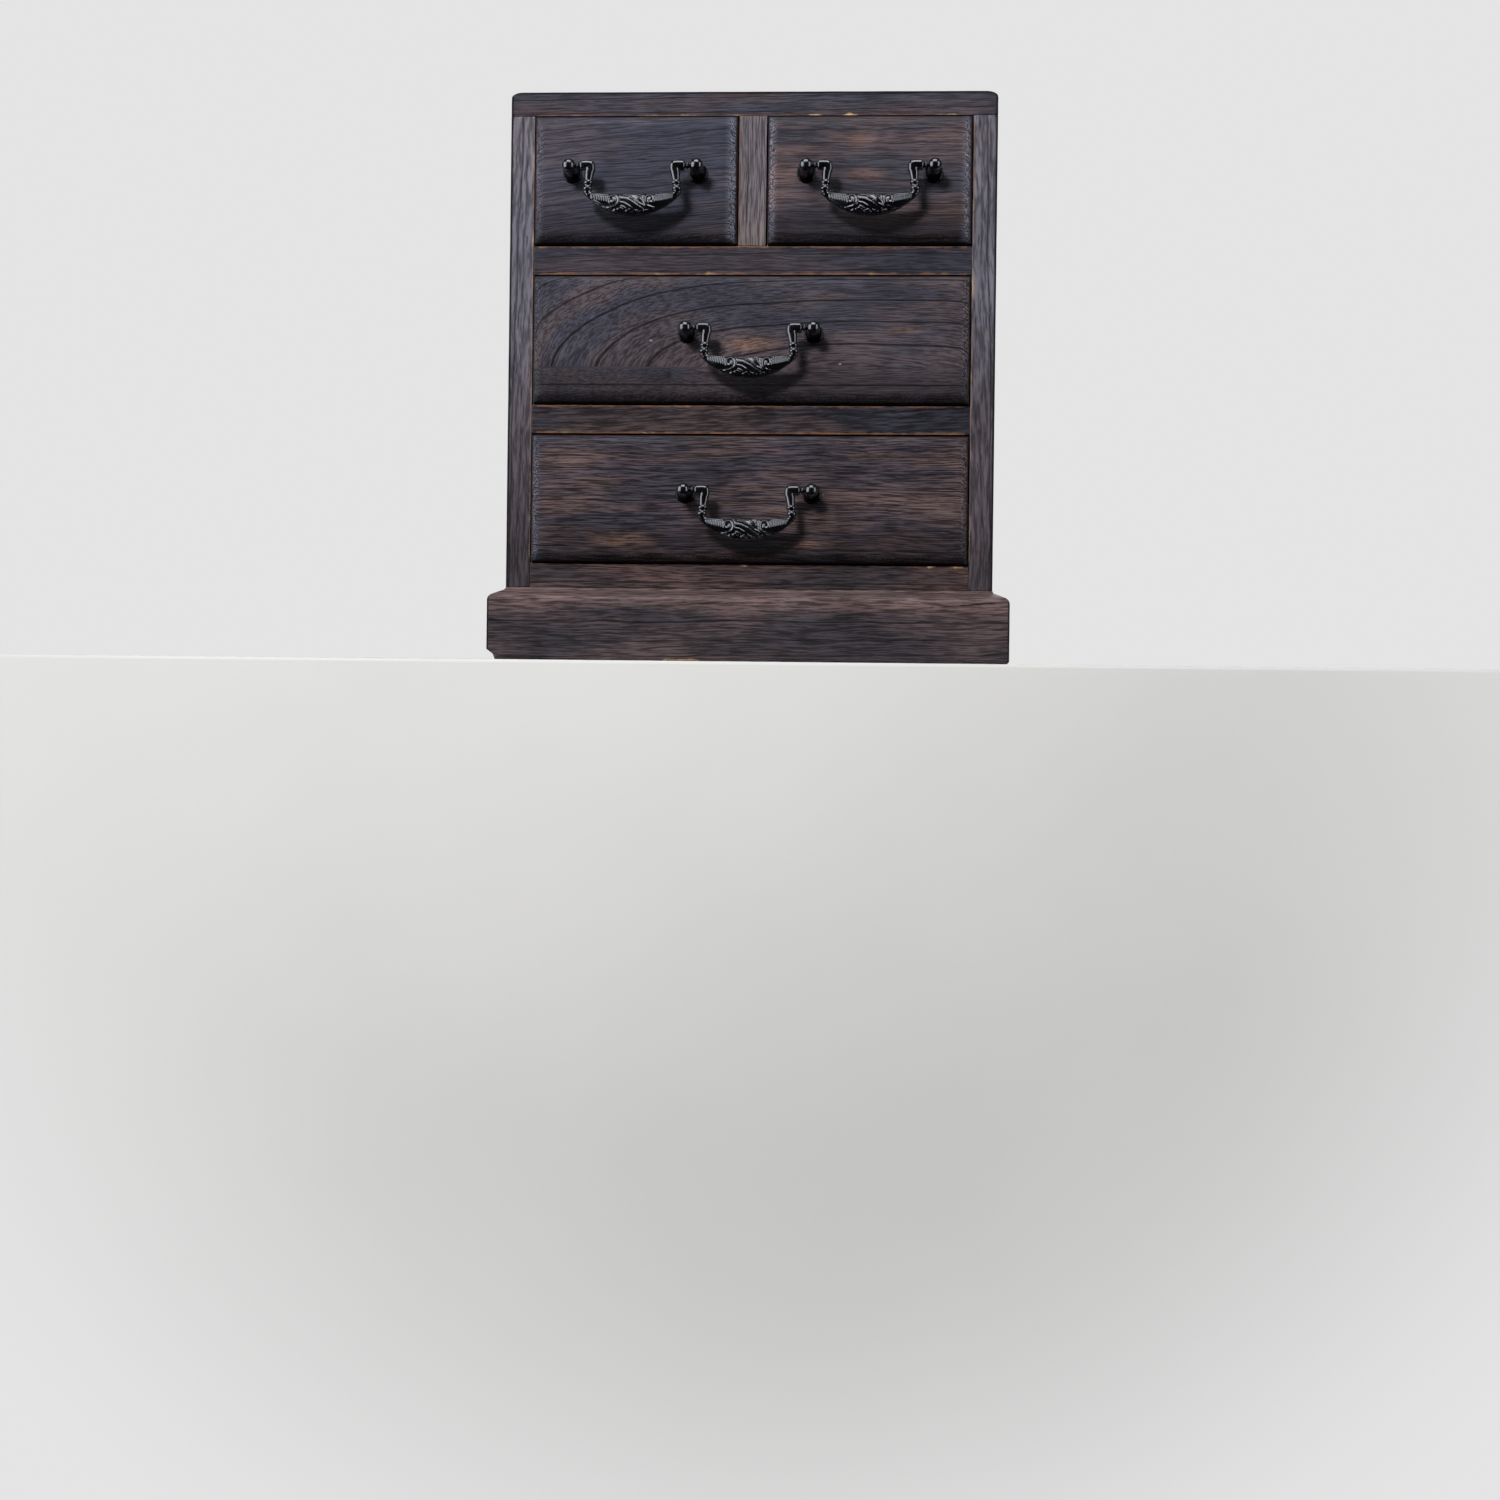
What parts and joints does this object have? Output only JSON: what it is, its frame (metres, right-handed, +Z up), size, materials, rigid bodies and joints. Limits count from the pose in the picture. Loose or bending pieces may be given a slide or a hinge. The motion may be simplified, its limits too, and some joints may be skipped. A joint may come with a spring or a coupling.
{
  "type": "tansu cabinet",
  "caption": "Small upright wooden drawer chest on a moulded plinth, with two half-width drawers over full-width drawers, each with a hanging bail pull.",
  "frame": {"origin": "middle of the whole part's footprint, handles included, on the floor under the plinth", "axes": "+Z up, -Y towards the front with the drawers, +X to the right seen from the front"},
  "size_m": [0.264, 0.2216, 0.2906],
  "materials": {
    "burnt_wood": "scorched and brushed paulownia, waxed, dark grey-brown",
    "raw_wood": "planed bare paulownia",
    "peg_wood": "wooden pegs, stained with the case",
    "bamboo": "bamboo nails, cut flush",
    "black_iron": "cast, gloss black lacquer",
    "screw_steel": "zinc-plated"
  },
  "bodies": {
    "carcass": {"top_board": "burnt_wood", "side_left": "burnt_wood", "side_right": "burnt_wood", "bottom_board": "burnt_wood", "lower_rail": "burnt_wood", "upper_rail": "burnt_wood", "lower_dust_board": "raw_wood", "upper_dust_board": "raw_wood", "partition": "burnt_wood", "back_panel": "raw_wood", "back_nails": "bamboo", "top_pegs": "peg_wood", "side_pegs": "peg_wood", "drawer_stops": "raw_wood", "plinth_front": "burnt_wood", "plinth_left": "burnt_wood", "plinth_right": "burnt_wood", "plinth_back": "burnt_wood", "plinth_blocks": "raw_wood"},
    "upper_left_drawer": {"upper_left_drawer_front": "burnt_wood", "upper_left_drawer_side_left": "raw_wood", "upper_left_drawer_side_right": "raw_wood", "upper_left_drawer_back": "raw_wood", "upper_left_drawer_bottom": "raw_wood", "upper_left_drawer_nails": "bamboo", "upper_left_drawer_handle_posts": "black_iron", "upper_left_drawer_handle_screws": "screw_steel"},
    "upper_left_bail": {"upper_left_drawer_bail": "black_iron"},
    "upper_right_drawer": {"upper_right_drawer_front": "burnt_wood", "upper_right_drawer_side_left": "raw_wood", "upper_right_drawer_side_right": "raw_wood", "upper_right_drawer_back": "raw_wood", "upper_right_drawer_bottom": "raw_wood", "upper_right_drawer_nails": "bamboo", "upper_right_drawer_handle_posts": "black_iron", "upper_right_drawer_handle_screws": "screw_steel"},
    "upper_right_bail": {"upper_right_drawer_bail": "black_iron"},
    "middle_drawer": {"middle_drawer_front": "burnt_wood", "middle_drawer_side_left": "raw_wood", "middle_drawer_side_right": "raw_wood", "middle_drawer_back": "raw_wood", "middle_drawer_bottom": "raw_wood", "middle_drawer_nails": "bamboo", "middle_drawer_handle_posts": "black_iron", "middle_drawer_handle_screws": "screw_steel"},
    "middle_bail": {"middle_drawer_bail": "black_iron"},
    "lower_drawer": {"lower_drawer_front": "burnt_wood", "lower_drawer_side_left": "raw_wood", "lower_drawer_side_right": "raw_wood", "lower_drawer_back": "raw_wood", "lower_drawer_bottom": "raw_wood", "lower_drawer_nails": "bamboo", "lower_drawer_handle_posts": "black_iron", "lower_drawer_handle_screws": "screw_steel"},
    "lower_bail": {"lower_drawer_bail": "black_iron"}
  },
  "joints": [
    {"name": "upper_left_drawer_slide", "type": "slide", "parent": "carcass", "child": "upper_left_drawer", "axis": [0, -1, 0], "range_m": [0, 0.14]},
    {"name": "upper_left_bail_swing", "type": "hinge", "parent": "upper_left_drawer", "child": "upper_left_bail", "pos_m": [-0.05935, -0.10735, 0.2471], "axis": [-1, 0, 0], "range_deg": [-26, 206]},
    {"name": "upper_right_drawer_slide", "type": "slide", "parent": "carcass", "child": "upper_right_drawer", "axis": [0, -1, 0], "range_m": [0, 0.14]},
    {"name": "upper_right_bail_swing", "type": "hinge", "parent": "upper_right_drawer", "child": "upper_right_bail", "pos_m": [0.05935, -0.10735, 0.2471], "axis": [-1, 0, 0], "range_deg": [-26, 206]},
    {"name": "middle_drawer_slide", "type": "slide", "parent": "carcass", "child": "middle_drawer", "axis": [0, -1, 0], "range_m": [0, 0.14]},
    {"name": "middle_bail_swing", "type": "hinge", "parent": "middle_drawer", "child": "middle_bail", "pos_m": [0, -0.10735, 0.1661], "axis": [-1, 0, 0], "range_deg": [-26, 206]},
    {"name": "lower_drawer_slide", "type": "slide", "parent": "carcass", "child": "lower_drawer", "axis": [0, -1, 0], "range_m": [0, 0.14]},
    {"name": "lower_bail_swing", "type": "hinge", "parent": "lower_drawer", "child": "lower_bail", "pos_m": [0, -0.10735, 0.0851], "axis": [-1, 0, 0], "range_deg": [-26, 206]}
  ]
}
